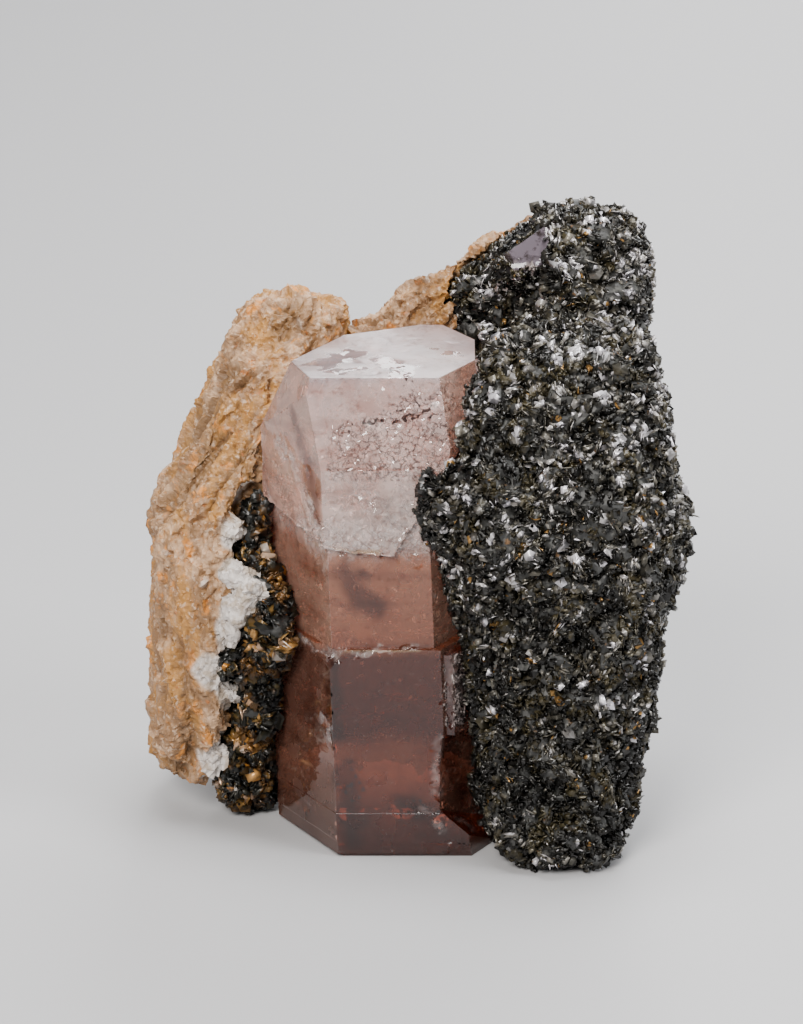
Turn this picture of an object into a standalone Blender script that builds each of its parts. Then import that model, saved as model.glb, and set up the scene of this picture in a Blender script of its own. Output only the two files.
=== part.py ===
"""A pink apatite crystal standing in its broken matrix.

The crystal is a stout six-sided prism with a flat top, grown in three stages that meet at
flat partings. Dark flaky mica wraps its right side, a cream feldspar slab runs along its left
side and behind it, a seam of rusty mica fills the joint on the left, and a smoky quartz
crystal shows in the upper lobe of the mica.

Tables are in millimetres, measured from the middle of the crystal's front bottom edge:
x to the right, y away from the viewer, z up. The finished group is then centred on its box.
"""

import math

import bmesh
import bpy
from mathutils import Matrix, Vector, noise

MM = 0.001

# The room between a crystal and the rock that it grew in.
GAP = 0.35

CRYSTAL_SIDE = 16.0
CRYSTAL_APOTHEM = CRYSTAL_SIDE * math.cos(math.radians(30))
CRYSTAL_TOP = 63.3
CRYSTAL_LEAN = -0.038
FOOT_TOP = 6.0
LOWER_PARTING = 16.2
MIDDLE_PARTING = 28.2
UPPER_PARTING = 41.3

QUARTZ_APOTHEM = 3.3
QUARTZ_LENGTH = 11.0
QUARTZ_TIP = 2.6
QUARTZ_CENTRE = (16.4, 27.4, 72.0)
QUARTZ_AXIS = (-0.80, -0.30, -0.50)
QUARTZ_FRONT = (0.05, -0.88, 0.47)

# Rock outlines are rounded rectangles: a power of 2 is an ellipse, and more is squarer.
RING_POINTS = 28
RING_POWER = 2.6
ROCK_VOXEL = 1.0
SEAT_VOXEL = 0.9
FELDSPAR_FACES = 3000
MICA_FACES = 3300
SEAM_FACES = 1100

# Directions that the six prism faces look in, in degrees from +X.
FACE_DIRECTIONS = {
    "front": -90,
    "front_right": -30,
    "back_right": 30,
    "back": 90,
    "back_left": 150,
    "front_left": 210,
}

# What is broken out of the crystal: the faces of each piece as three points, and its inside.
BROKEN_OUT = [
    # The right front edge, between the foot and the lower parting.
    (
        [
            ((5.0, 0, 8), (5.6, 0, 13), (7.2, 3.0, 10)),
            ((7.2, 3.0, 10), (7.4, 3.0, 14), (13.0, 13.0, 12)),
            ((5.2, 0, 6.6), (11.9, 4.4, 0.6), (8.0, 12, 4.6)),
            ((5.0, 0, 16.4), (13, 9, 16.4), (5.0, 9, 16.7)),
            ((0, 13, 0), (9, 13, 0), (0, 13, 9)),
        ],
        (9.0, 1.5, 11.0),
    ),
    # The right rim of the top, a strip that stops a little lower than the rest.
    (
        [
            ((12.3, 29, 60), (12.1, 12, 60), (12.7, 20, 50)),
            ((12, 12, 60.7), (16, 12, 60.4), (12, 20, 60.8)),
        ],
        (15.0, 14.0, 63.0),
    ),
]

# Level z, then the rock's reach in x and in y at that level.
SLAB_LEVELS = [
    (4.4, -31.5, -24.5, 15.0, 24.0),
    (7.2, -33.0, -22.0, 12.0, 30.0),
    (13.0, -33.0, -20.0, 9.5, 32.0),
    (20.0, -32.0, -19.0, 9.0, 34.0),
    (28.0, -32.3, -17.0, 9.0, 35.0),
    (36.0, -32.3, -16.5, 9.5, 36.0),
    (42.0, -32.4, -16.0, 10.5, 37.0),
    (46.5, -29.5, -15.0, 12.0, 37.0),
    (52.0, -26.6, -13.0, 15.0, 37.5),
    (58.0, -24.0, -9.0, 18.5, 37.5),
    (62.5, -21.8, -7.0, 21.0, 36.5),
    (65.8, -19.8, -7.2, 23.0, 34.0),
    (67.4, -17.0, -9.5, 25.0, 31.0),
]

MICA_LEVELS = [
    (0.0, 14.5, 26.0, -5.5, 12.0),
    (2.0, 11.5, 29.0, -7.0, 16.0),
    (8.0, 9.5, 31.0, -7.0, 21.0),
    (16.0, 9.0, 32.2, -6.5, 25.0),
    (24.0, 8.3, 32.8, -6.0, 27.0),
    (30.0, 6.6, 34.0, -6.0, 28.0),
    (36.0, 4.6, 36.2, -6.5, 29.0),
    (42.0, 1.0, 37.0, -7.0, 30.0),
    (45.5, -1.8, 36.8, -7.0, 30.0),
    (49.0, -3.2, 35.9, -6.5, 30.0),
    (52.0, -0.8, 34.8, -5.5, 30.0),
    (55.5, 4.4, 33.8, -4.0, 30.0),
    (60.0, 7.8, 33.0, -2.0, 26.0),
    (64.0, 9.4, 32.4, 0.5, 19.5),
    (66.6, 12.5, 31.4, 3.5, 16.5),
    (68.2, 16.5, 29.5, 6.5, 13.5),
]

LOBE_LEVELS = [
    (58.0, 18.0, 32.4, 16.0, 35.0),
    (62.0, 17.5, 32.4, 16.5, 36.5),
    (66.0, 17.5, 32.4, 16.5, 37.0),
    (70.0, 17.5, 33.4, 17.5, 37.0),
    (74.0, 17.8, 32.4, 18.5, 36.5),
    (76.6, 18.5, 31.0, 20.0, 35.0),
    (78.3, 20.0, 29.6, 21.5, 32.5),
    (79.3, 22.5, 28.0, 23.5, 29.5),
]

SEAM_LEVELS = [
    (0.0, -22.2, -17.6, 14.5, 20.0),
    (1.8, -24.3, -16.4, 12.5, 22.0),
    (6.0, -24.5, -15.6, 11.0, 22.5),
    (12.0, -22.6, -15.6, 9.5, 22.0),
    (18.0, -21.4, -15.4, 8.0, 21.0),
    (22.5, -24.5, -14.2, 6.0, 20.0),
    (26.0, -20.0, -12.8, 4.2, 18.0),
    (30.0, -19.8, -12.2, 3.8, 17.0),
    (33.5, -20.6, -14.2, 5.5, 17.0),
    (38.0, -21.4, -16.6, 8.6, 17.0),
    (42.0, -19.6, -17.2, 10.2, 16.5),
    (45.0, -18.7, -17.6, 11.3, 15.5),
]

# Station x, then the rock's reach in y and in z at that station.
BACK_WALL_STATIONS = [
    (-24.0, 29.0, 35.0, 12.0, 52.0),
    (-12.0, 28.0, 38.0, 5.0, 62.0),
    (-6.5, 28.0, 39.0, 3.5, 61.6),
    (-2.0, 28.0, 39.5, 3.0, 64.5),
    (3.0, 28.0, 40.0, 3.0, 67.5),
    (7.0, 28.5, 40.0, 4.0, 70.5),
    (12.0, 30.5, 40.0, 6.0, 73.0),
    (16.5, 32.5, 40.0, 8.0, 76.2),
    (19.0, 33.5, 39.5, 12.0, 76.0),
    (24.0, 31.0, 38.0, 20.0, 68.0),
    (30.0, 30.0, 35.5, 30.0, 58.0),
]

LOBE_SHOULDER_STATIONS = [
    (5.2, 31.0, 36.0, 58.0, 64.5),
    (8.0, 30.0, 37.0, 56.0, 69.5),
    (11.5, 29.0, 37.5, 55.0, 72.2),
    (15.5, 27.2, 37.5, 55.0, 75.2),
    (19.0, 23.0, 37.5, 55.0, 77.5),
    (22.0, 21.5, 37.0, 56.0, 78.5),
]


def clear_scene():
    for old in list(bpy.data.objects):
        bpy.data.objects.remove(old)


def finish_material(name, colour, roughness, transmission=0.0, ior=1.5):
    material = bpy.data.materials.new(name)
    material.use_nodes = True
    shader = material.node_tree.nodes["Principled BSDF"]
    shader.inputs["Base Color"].default_value = (*colour, 1.0)
    shader.inputs["Roughness"].default_value = roughness
    shader.inputs["Metallic"].default_value = 0.0
    shader.inputs["Transmission Weight"].default_value = transmission
    shader.inputs["IOR"].default_value = ior
    return material


def add_object(name, bm, material=None):
    mesh = bpy.data.meshes.new(name)
    bm.to_mesh(mesh)
    bm.free()
    made = bpy.data.objects.new(name, mesh)
    bpy.context.scene.collection.objects.link(made)
    if material:
        mesh.materials.append(material)
    return made


def freeze(shape):
    """Turns the shape with its modifiers into a plain mesh."""
    bpy.context.view_layer.update()
    graph = bpy.context.evaluated_depsgraph_get()
    mesh = bpy.data.meshes.new_from_object(shape.evaluated_get(graph))
    shape.modifiers.clear()
    shape.data = mesh


def combine(shape, other, operation):
    """Unites the shape with another, or cuts the other away, and drops the other."""
    boolean = shape.modifiers.new(operation.title(), "BOOLEAN")
    boolean.operation = operation
    boolean.object = other
    freeze(shape)
    bpy.data.objects.remove(other)


def carve(shape, cutters):
    """Cuts the place of each neighbour out of a rock and drops the crumbs."""
    for cutter in cutters:
        cut = shape.modifiers.new("Seat", "BOOLEAN")
        cut.operation = "DIFFERENCE"
        cut.use_self = True
        cut.object = cutter
        freeze(shape)
    keep_largest_island(shape)


def keep_largest_island(shape):
    """Leaves the one body that the rock is, without the crumbs that a cut sets free."""
    bm = bmesh.new()
    bm.from_mesh(shape.data)
    waiting = set(bm.verts)
    islands = []
    while waiting:
        edge_of_island = [waiting.pop()]
        island = set(edge_of_island)
        while edge_of_island:
            vert = edge_of_island.pop()
            for edge in vert.link_edges:
                near = edge.other_vert(vert)
                if near not in island:
                    island.add(near)
                    edge_of_island.append(near)
        waiting -= island
        islands.append(island)
    largest = max(islands, key=len)
    crumbs = [vert for vert in bm.verts if vert not in largest]
    bmesh.ops.delete(bm, geom=crumbs, context="VERTS")
    bm.to_mesh(shape.data)
    bm.free()


# The crystals: each stage is a block cut out of a cube by the planes of its faces.


def cut_plane(bm, point, normal, grow):
    """Cuts off what lies beyond a plane that has been moved outwards by grow."""
    normal = Vector(normal).normalized()
    found = bmesh.ops.bisect_plane(
        bm,
        geom=bm.verts[:] + bm.edges[:] + bm.faces[:],
        plane_co=(Vector(point) + normal * grow) * MM,
        plane_no=normal,
        clear_outer=True,
    )
    rim = [part for part in found["geom_cut"] if isinstance(part, bmesh.types.BMEdge)]
    if rim:
        bmesh.ops.edgeloop_fill(bm, edges=rim)


def plane_of(first, second, third, inside=(0, CRYSTAL_APOTHEM, 35.0)):
    """The plane through three points, looking away from the middle of the crystal."""
    first, second, third = Vector(first), Vector(second), Vector(third)
    normal = (second - first).cross(third - first)
    if normal.dot(Vector(inside) - first) > 0:
        normal.negate()
    return first, normal


def stage(bottom, top, insets, all_inset, planes, grow):
    """One growth stage: a hexagonal block whose faces may be set in, with further cuts."""
    bm = bmesh.new()
    bmesh.ops.create_cube(bm, size=400.0 * MM)
    centre = Vector((0, CRYSTAL_APOTHEM, 0))
    for face, degrees in FACE_DIRECTIONS.items():
        angle = math.radians(degrees)
        outwards = Vector((math.cos(angle), math.sin(angle), 0))
        reach = CRYSTAL_APOTHEM - all_inset - insets.get(face, 0.0)
        cut_plane(bm, centre + outwards * reach, outwards, grow)
    cut_plane(bm, (0, 0, bottom), (0, 0, -1), grow)
    cut_plane(bm, (0, 0, top), (0, 0, 1), grow)
    for point, normal in planes:
        cut_plane(bm, point, normal, grow)
    bmesh.ops.recalc_face_normals(bm, faces=bm.faces)
    return bm


def crystal_stages(grow):
    """The blocks that make up the apatite, from the foot to the flat top."""
    left_corner = (-16.0, 13.86, 53.5)
    above = (0, CRYSTAL_APOTHEM, 55.0)
    foot_bevels = [
        plane_of((-8, 0, 1.8), (8, 0, 1.8), (0, 0.4, 0)),
        plane_of((-8, 0, 2.2), (-16, 13.86, 2.2), (-11.2, 7.2, 0)),
    ]
    corner_chip = plane_of((-5.6, 0, 28.4), (-8.0, 0, 25.4), (-10.6, 4.6, 28.4))
    crown_bevels = [
        # Steep faces round the flat top: front, front left, back left, right and back.
        plane_of((-8, 0, 51.8), (8, 0, 51.8), (0, 3.2, CRYSTAL_TOP)),
        plane_of((-8.7, 2.6, CRYSTAL_TOP), (-11.4, 10.7, CRYSTAL_TOP), left_corner),
        plane_of((-11.4, 10.7, CRYSTAL_TOP), (-4.9, 22.7, CRYSTAL_TOP), left_corner),
        plane_of((8.0, 0, 54.5), (16, 13.86, 54.5), (12.4, 12.0, CRYSTAL_TOP)),
        plane_of((7.9, 0, 57.0), (7.9, 3.6, CRYSTAL_TOP), (9.2, 5.8, CRYSTAL_TOP)),
        plane_of((-4.9, 22.7, CRYSTAL_TOP), (3.4, 26.9, CRYSTAL_TOP), (-8, 27.7, 53.5)),
    ]
    ragged_rim = [
        # The broken lower edge of the pale crown: it climbs to the left and to the right.
        plane_of((-7.5, 0, 41.5), (0.6, 0, 40.5), (0, 27.7, 41.5), inside=above),
        plane_of((0.6, 0, 40.5), (4.6, 0, 46.6), (1.6, 27.7, 40.5), inside=above),
        plane_of((-7.5, 0, 41.5), (-16, 13.86, 44.4), (0, 27.7, 41.5), inside=above),
    ]
    yield stage(0.0, FOOT_TOP, {"front_right": -0.9}, 0.0, foot_bevels, grow)
    yield stage(0.4, MIDDLE_PARTING, {"front_right": 1.5}, 0.06, [corner_chip], grow)
    yield stage(
        LOWER_PARTING, MIDDLE_PARTING - 0.9, {"front_right": 0.5, "front": 0.6}, 0.21, [], grow
    )
    yield stage(
        MIDDLE_PARTING - 4.0,
        UPPER_PARTING + 7.0,
        {"front": 0.6, "front_right": 2.4, "front_left": 0.5},
        0.28,
        [],
        grow,
    )
    yield stage(
        UPPER_PARTING - 2.0, CRYSTAL_TOP, {}, 0.05, [*crown_bevels, *ragged_rim], grow
    )


def apatite(name, material=None, grow=0.0):
    blocks = [add_object(f"stage_{n}", bm) for n, bm in enumerate(crystal_stages(grow))]
    crystal = blocks[0]
    for block in blocks[1:]:
        combine(crystal, block, "UNION")
    if grow == 0.0:
        for faces, inside in BROKEN_OUT:
            combine(crystal, block_of(faces, inside), "DIFFERENCE")
    lean = Matrix.Identity(4)
    lean[0][2] = CRYSTAL_LEAN
    crystal.data.transform(lean)
    crystal.name = name
    if material:
        crystal.data.materials.clear()
        crystal.data.materials.append(material)
    return crystal


def block_of(faces, inside):
    """A block with faces through the given sets of three points."""
    bm = bmesh.new()
    bmesh.ops.create_cube(bm, size=70.0 * MM)
    bm.transform(Matrix.Translation(Vector(inside) * MM))
    for corners in faces:
        point, normal = plane_of(*corners, inside=inside)
        cut_plane(bm, point, normal, 0.0)
    bmesh.ops.recalc_face_normals(bm, faces=bm.faces)
    return add_object("broken_out", bm)


def smoky_quartz(name, material=None, grow=0.0):
    """A six-sided prism lying in the lobe, one face to the front, its tip down to the left."""
    bm = bmesh.new()
    bmesh.ops.create_cube(bm, size=400.0 * MM)
    for n in range(6):
        angle = math.radians(60 * n)
        outwards = Vector((math.cos(angle), math.sin(angle), 0))
        cut_plane(bm, outwards * QUARTZ_APOTHEM, outwards, grow)
        tip_face = outwards * QUARTZ_TIP + Vector((0, 0, QUARTZ_APOTHEM))
        cut_plane(bm, (0, 0, QUARTZ_LENGTH / 2), tip_face, grow)
    cut_plane(bm, (0, 0, -QUARTZ_LENGTH / 2), (0, 0, -1), grow)
    bmesh.ops.recalc_face_normals(bm, faces=bm.faces)
    along = Vector(QUARTZ_AXIS).normalized()
    side = along.cross(Vector(QUARTZ_FRONT)).normalized()
    turn = Matrix((side.cross(along), side, along)).transposed().to_4x4()
    bm.transform(Matrix.Translation(Vector(QUARTZ_CENTRE) * MM) @ turn)
    return add_object(name, bm, material)


# The rocks: rounded rings lofted level by level, made one skin, then roughened.


def loft(bm, table, along):
    """Bridges a rounded ring at each row of the table, along z or along x."""
    squareness = 2 / RING_POWER
    loops = []
    for place, low_a, high_a, low_b, high_b in table:
        ring = bmesh.ops.create_circle(bm, segments=RING_POINTS, radius=1.0)["verts"]
        middle_a, half_a = (low_a + high_a) / 2, (high_a - low_a) / 2
        middle_b, half_b = (low_b + high_b) / 2, (high_b - low_b) / 2
        for vert in ring:
            a = middle_a + half_a * math.copysign(abs(vert.co.x) ** squareness, vert.co.x)
            b = middle_b + half_b * math.copysign(abs(vert.co.y) ** squareness, vert.co.y)
            vert.co = Vector((a, b, place) if along == "z" else (place, a, b)) * MM
        loops.append(ring)
    for low, high in zip(loops, loops[1:]):
        edges = {edge for vert in low + high for edge in vert.link_edges}
        rims = [edge for edge in edges if all(v in low for v in edge.verts)]
        rims += [edge for edge in edges if all(v in high for v in edge.verts)]
        bmesh.ops.bridge_loops(bm, edges=rims)
    for end in (loops[0], loops[-1]):
        bmesh.ops.contextual_create(bm, geom=end)


def feldspar_relief(place):
    """Broken feldspar: long wavy ridges that run up the slab, and blunt steps across them."""
    ridges = noise.fractal(Vector((place.x / 4.5, place.y / 4.5, place.z / 15.0)), 0.8, 2.0, 3)
    steps = noise.fractal(Vector((place.x / 7.0 + 9, place.y / 7.0, place.z / 6.0)), 1.0, 2.1, 2)
    return 0.9 * ridges + 0.7 * steps


def mica_relief(place):
    """Matted mica: rounded lumps of two sizes."""
    lumps = noise.fractal(place / 7.5 + Vector((3, 5, 7)), 0.9, 2.0, 2)
    knobs = noise.fractal(place / 3.0, 0.9, 2.0, 2)
    return 1.1 * lumps + 0.5 * knobs


def push_out(shape, distance):
    """Moves every vertex out along its normal, by a distance that depends on its place."""
    normals = [vert.normal.copy() for vert in shape.data.vertices]
    for vert, normal in zip(shape.data.vertices, normals):
        vert.co += normal * distance(vert.co / MM) * MM


def rock(name, lofts, relief, faces, material):
    """Lofts made one skin, roughened by the relief and cut flat where the rock stands."""
    bm = bmesh.new()
    for table, along in lofts:
        loft(bm, table, along)
    bmesh.ops.recalc_face_normals(bm, faces=bm.faces)
    shape = add_object(name, bm)
    skin = shape.modifiers.new("Skin", "REMESH")
    skin.mode = "VOXEL"
    skin.voxel_size = ROCK_VOXEL * MM
    freeze(shape)
    push_out(shape, relief)
    reduce = shape.modifiers.new("Facets", "DECIMATE")
    reduce.ratio = faces / (2 * len(shape.data.polygons))
    freeze(shape)
    stand_flat(shape)
    shape.data.materials.clear()
    shape.data.materials.append(material)
    return shape


def stand_flat(shape):
    """Cuts the rock off at the level that the whole group rests on."""
    bm = bmesh.new()
    bm.from_mesh(shape.data)
    cut_plane(bm, (0, 0, 0), (0, 0, -1), 0.0)
    bmesh.ops.triangulate(bm, faces=bm.faces)
    bm.to_mesh(shape.data)
    bm.free()


def swollen(shape):
    """A smooth copy of a rock, a gap larger all round, to cut its place in a neighbour."""
    copy = shape.copy()
    copy.data = shape.data.copy()
    bpy.context.scene.collection.objects.link(copy)
    push_out(copy, lambda place: 1.8 * GAP)
    skin = copy.modifiers.new("Skin", "REMESH")
    skin.mode = "VOXEL"
    skin.voxel_size = SEAT_VOXEL * MM
    reduce = copy.modifiers.new("Facets", "DECIMATE")
    reduce.ratio = 0.22
    freeze(copy)
    return copy


def stand_at_origin(pieces):
    """Puts the middle of the group's box over the origin, and its lowest point at z = 0."""
    corners = [vert.co for piece in pieces for vert in piece.data.vertices]
    low = Vector([min(corner[axis] for corner in corners) for axis in range(3)])
    high = Vector([max(corner[axis] for corner in corners) for axis in range(3)])
    shift = Vector((-(low.x + high.x) / 2, -(low.y + high.y) / 2, -low.z))
    for piece in pieces:
        piece.data.transform(Matrix.Translation(shift))


def main():
    clear_scene()
    pink = finish_material("apatite_pink", (0.62, 0.40, 0.36), 0.08, 0.7, 1.63)
    cream = finish_material("feldspar_cream", (0.72, 0.58, 0.45), 0.75)
    black = finish_material("mica_black", (0.05, 0.05, 0.045), 0.4)
    rusty = finish_material("mica_rusty", (0.09, 0.06, 0.03), 0.5)
    smoky = finish_material("quartz_smoky", (0.16, 0.13, 0.14), 0.1, 0.6, 1.54)

    crystal = apatite("apatite_crystal", pink)
    quartz = smoky_quartz("smoky_quartz", smoky)
    seam = rock("mica_seam", [(SEAM_LEVELS, "z")], mica_relief, SEAM_FACES, rusty)
    mica = rock(
        "mica_mass",
        [(MICA_LEVELS, "z"), (LOBE_LEVELS, "z"), (LOBE_SHOULDER_STATIONS, "x")],
        mica_relief,
        MICA_FACES,
        black,
    )
    feldspar = rock(
        "feldspar_slab",
        [(SLAB_LEVELS, "z"), (BACK_WALL_STATIONS, "x")],
        feldspar_relief,
        FELDSPAR_FACES,
        cream,
    )
    crystal_seat = apatite("crystal_seat", grow=GAP)
    quartz_seat = smoky_quartz("quartz_seat", grow=GAP)
    rock_seats = [swollen(seam), swollen(mica)]
    carve(seam, [crystal_seat])
    carve(mica, [crystal_seat, quartz_seat])
    carve(feldspar, [*rock_seats, crystal_seat, quartz_seat])
    for seat in (crystal_seat, quartz_seat, *rock_seats):
        bpy.data.objects.remove(seat)
    stand_at_origin([crystal, quartz, seam, mica, feldspar])


main()
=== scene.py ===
"""The looks of a pink apatite crystal that stands in its feldspar and mica matrix."""

import math

import bmesh
import bpy
import numpy as np
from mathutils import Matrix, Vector, bvhtree, noise
from mathutils.geometry import intersect_point_line


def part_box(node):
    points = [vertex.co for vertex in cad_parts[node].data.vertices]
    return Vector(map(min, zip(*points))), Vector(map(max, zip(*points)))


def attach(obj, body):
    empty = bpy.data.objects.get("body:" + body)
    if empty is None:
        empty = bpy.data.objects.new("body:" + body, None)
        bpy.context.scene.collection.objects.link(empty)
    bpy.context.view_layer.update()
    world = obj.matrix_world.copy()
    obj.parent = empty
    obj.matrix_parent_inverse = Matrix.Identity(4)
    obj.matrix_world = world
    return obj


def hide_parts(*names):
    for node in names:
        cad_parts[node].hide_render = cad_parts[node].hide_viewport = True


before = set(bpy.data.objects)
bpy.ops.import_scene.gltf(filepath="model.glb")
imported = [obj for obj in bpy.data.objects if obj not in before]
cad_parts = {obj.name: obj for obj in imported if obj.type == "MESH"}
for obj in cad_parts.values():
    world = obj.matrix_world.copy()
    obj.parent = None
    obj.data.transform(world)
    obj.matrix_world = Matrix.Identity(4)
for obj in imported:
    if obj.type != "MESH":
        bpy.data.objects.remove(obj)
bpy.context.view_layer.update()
# Without a seed of its own, vector noise takes one from the clock.
noise.seed_set(5)


# The feldspar slab: one lump of cream potassium feldspar, broken rough along its cleavage, with
# long wavy grooves up its face and iron stains in them. The crystal and the mica grew out of
# it, so it runs up the left side and round behind them.
MM = 0.001
crystal_low, crystal_high = (Vector(corner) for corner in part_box("apatite_crystal"))
# The middle of the crystal's front bottom edge, which every place below is measured from.
FOOT = Vector((crystal_low.x + 17.98 * MM, crystal_low.y, 0.0))
SLAB_VOXEL = 0.39
# White lumps of feldspar that break through the rusty seam: place and radii, in mm.
CHALK_LUMPS = [
    (-20.6, 10.6, 40.6, 1.8, 1.7, 2.1),
    (-20.6, 8.6, 35.4, 2.0, 2.0, 1.7),
    (-18.3, 6.9, 33.4, 2.3, 2.0, 2.0),
    (-20.2, 7.7, 31.2, 2.3, 2.1, 2.2),
    (-18.2, 6.5, 30.6, 1.7, 1.5, 1.5),
    (-22.0, 9.2, 27.8, 1.8, 1.6, 1.8),
    (-23.8, 9.9, 22.0, 1.9, 1.5, 2.3),
    (-22.0, 10.6, 18.6, 2.0, 1.7, 1.9),
    (-23.9, 12.6, 9.0, 1.6, 1.4, 1.9),
]


def merged_copy(node):
    """The CAD node's triangles, merged into one closed skin."""
    bm = bmesh.new()
    bm.from_mesh(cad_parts[node].data)
    bmesh.ops.remove_doubles(bm, verts=bm.verts, dist=0.001 * MM)
    return bm


def add_piece(name, bm, material=None):
    mesh = bpy.data.meshes.new(name)
    bm.to_mesh(mesh)
    bm.free()
    piece = bpy.data.objects.new(name, mesh)
    bpy.context.scene.collection.objects.link(piece)
    if material:
        mesh.materials.append(material)
    return piece


def apply_modifiers(piece):
    """Turns the piece with its modifiers into a plain mesh."""
    bpy.context.view_layer.update()
    graph = bpy.context.evaluated_depsgraph_get()
    mesh = bpy.data.meshes.new_from_object(piece.evaluated_get(graph))
    piece.modifiers.clear()
    piece.data = mesh


def reskin(piece, voxel, smoothing=0):
    """Gives the piece one even skin of small faces, without the facets of the solid."""
    skin = piece.modifiers.new("Skin", "REMESH")
    skin.mode = "VOXEL"
    skin.voxel_size = voxel * MM
    if smoothing:
        smooth = piece.modifiers.new("Smooth", "SMOOTH")
        smooth.factor = 0.5
        smooth.iterations = smoothing
    piece.modifiers.new("Triangles", "TRIANGULATE").quad_method = "SHORTEST_DIAGONAL"
    apply_modifiers(piece)


def shape_surface(piece, relief, marks=()):
    """Moves each vertex along its normal by the first number that relief gives for its place in
    millimetres. The other numbers are kept as marks, which the finish reads."""
    verts = piece.data.vertices
    normals = [vert.normal.copy() for vert in verts]
    found = [relief((vert.co - FOOT) / MM, normal) for vert, normal in zip(verts, normals)]
    for vert, normal, (distance, *_) in zip(verts, normals, found):
        vert.co += normal * distance * MM
        vert.co.z = max(vert.co.z, 0.0)
    for n, mark in enumerate(marks, 1):
        layer = piece.data.attributes.new(mark, "FLOAT", "POINT")
        layer.data.foreach_set("value", [values[n] for values in found])


def tree_of(piece):
    return bvhtree.BVHTree.FromObject(piece, bpy.context.evaluated_depsgraph_get())


crystal_tree = tree_of(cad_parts["apatite_crystal"])
seam_tree = tree_of(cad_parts["mica_seam"])


def reach_of(tree, place, most):
    """How far the place is from the surface in the tree, up to the most that matters."""
    distance = tree.find_nearest(FOOT + place * MM, most * MM)[3]
    return most if distance is None else distance / MM


def crease(value, width):
    return max(0.0, 1.0 - abs(value) / width)


def shatter(place, size):
    """Broken facets some size across: how high each stands, and how near a border is."""
    distances, points = noise.voronoi(place / size)
    tilt = noise.noise_vector(points[0] * 3.7)
    return size * (place / size - points[0]).dot(tilt), distances[1] - distances[0]


def slab_relief(place, normal):
    """The slab's grooves follow its sloping side. Their depth marks where the stain gathers."""
    lean = 0.75 * max(0.0, place.z - 40.0)
    across = place.x - lean + 1.9 * noise.noise(place / 8.0)
    deep = crease(noise.noise(Vector((across / 3.4, place.y / 3.6, place.z / 17.0))), 0.15)
    # The back is broken more along the cleavage, in blocks, with hardly any grooves.
    rear = max(0.0, normal.y)
    deep *= max(0.0, min(1.0, 0.55 + 1.5 * noise.noise(place / 7.0))) * (1.0 - 0.7 * rear)
    fine = crease(noise.noise(Vector((across / 1.4 + 9, place.y / 1.7, place.z / 6.5))), 0.2)
    valley = noise.noise(Vector((across / 4.6 + 4, place.y / 5.0, place.z / 19.0)))
    valley = max(0.0, min(1.0, -2.6 * valley - 0.10)) * (1.0 - 0.75 * rear)
    run = Vector((across, place.y, 0.55 * place.z))
    block = shatter(run + Vector((3, 1, 5)), 2.6)[0]
    chip, border = shatter(run, 0.95)
    grain = noise.fractal(place / 0.7, 0.5, 2.2, 2)
    pit = min(0.0, noise.noise(place / 0.9 + Vector((31, 5, 2))) + 0.42)
    distance = 0.2 - 0.6 * deep - 0.22 * fine + (0.6 + 0.6 * rear) * block + 0.42 * chip + 0.22 * grain
    distance += 1.2 * pit - 1.7 * valley
    distance = min(distance, reach_of(crystal_tree, place, 2.5) - 0.12)
    lump = min((place - Vector(lump[:3])).length / max(lump[3:]) for lump in CHALK_LUMPS)
    rim = 1.0 - reach_of(seam_tree, place, 3.0) / 3.0
    cloud = noise.noise(place / 2.4 + Vector((2, 8, 5)))
    chalk = max(rim * 1.0 + 1.3 * cloud - 0.15, 2.0 - lump + 0.4 * cloud)
    if chalk > 0.5:
        distance += 0.75 * shatter(place + Vector((6, 2, 9)), 1.7)[0]
    soiled = deep * 0.7 + 0.30 * fine - 1.2 * pit + 0.35 * max(0.0, 1.0 - border / 0.16)
    return distance, min(1.0, soiled + 0.35 * valley), chalk, valley


def new_material(name):
    material = bpy.data.materials.new(name)
    material.use_nodes = True
    return material, material.node_tree, material.node_tree.nodes["Principled BSDF"]


def add_node(tree, kind, **settings):
    node = tree.nodes.new(kind)
    for key, value in settings.items():
        setattr(node, key, value)
    return node


def set_ramp(node, stops, interpolation="LINEAR"):
    """stops is a list of (place on the ramp, colour)."""
    ramp = node.color_ramp
    ramp.interpolation = interpolation
    while len(ramp.elements) < len(stops):
        ramp.elements.new(1.0)
    for element, (place, colour) in zip(ramp.elements, stops):
        element.position = place
        element.color = (*colour, 1.0)


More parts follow.
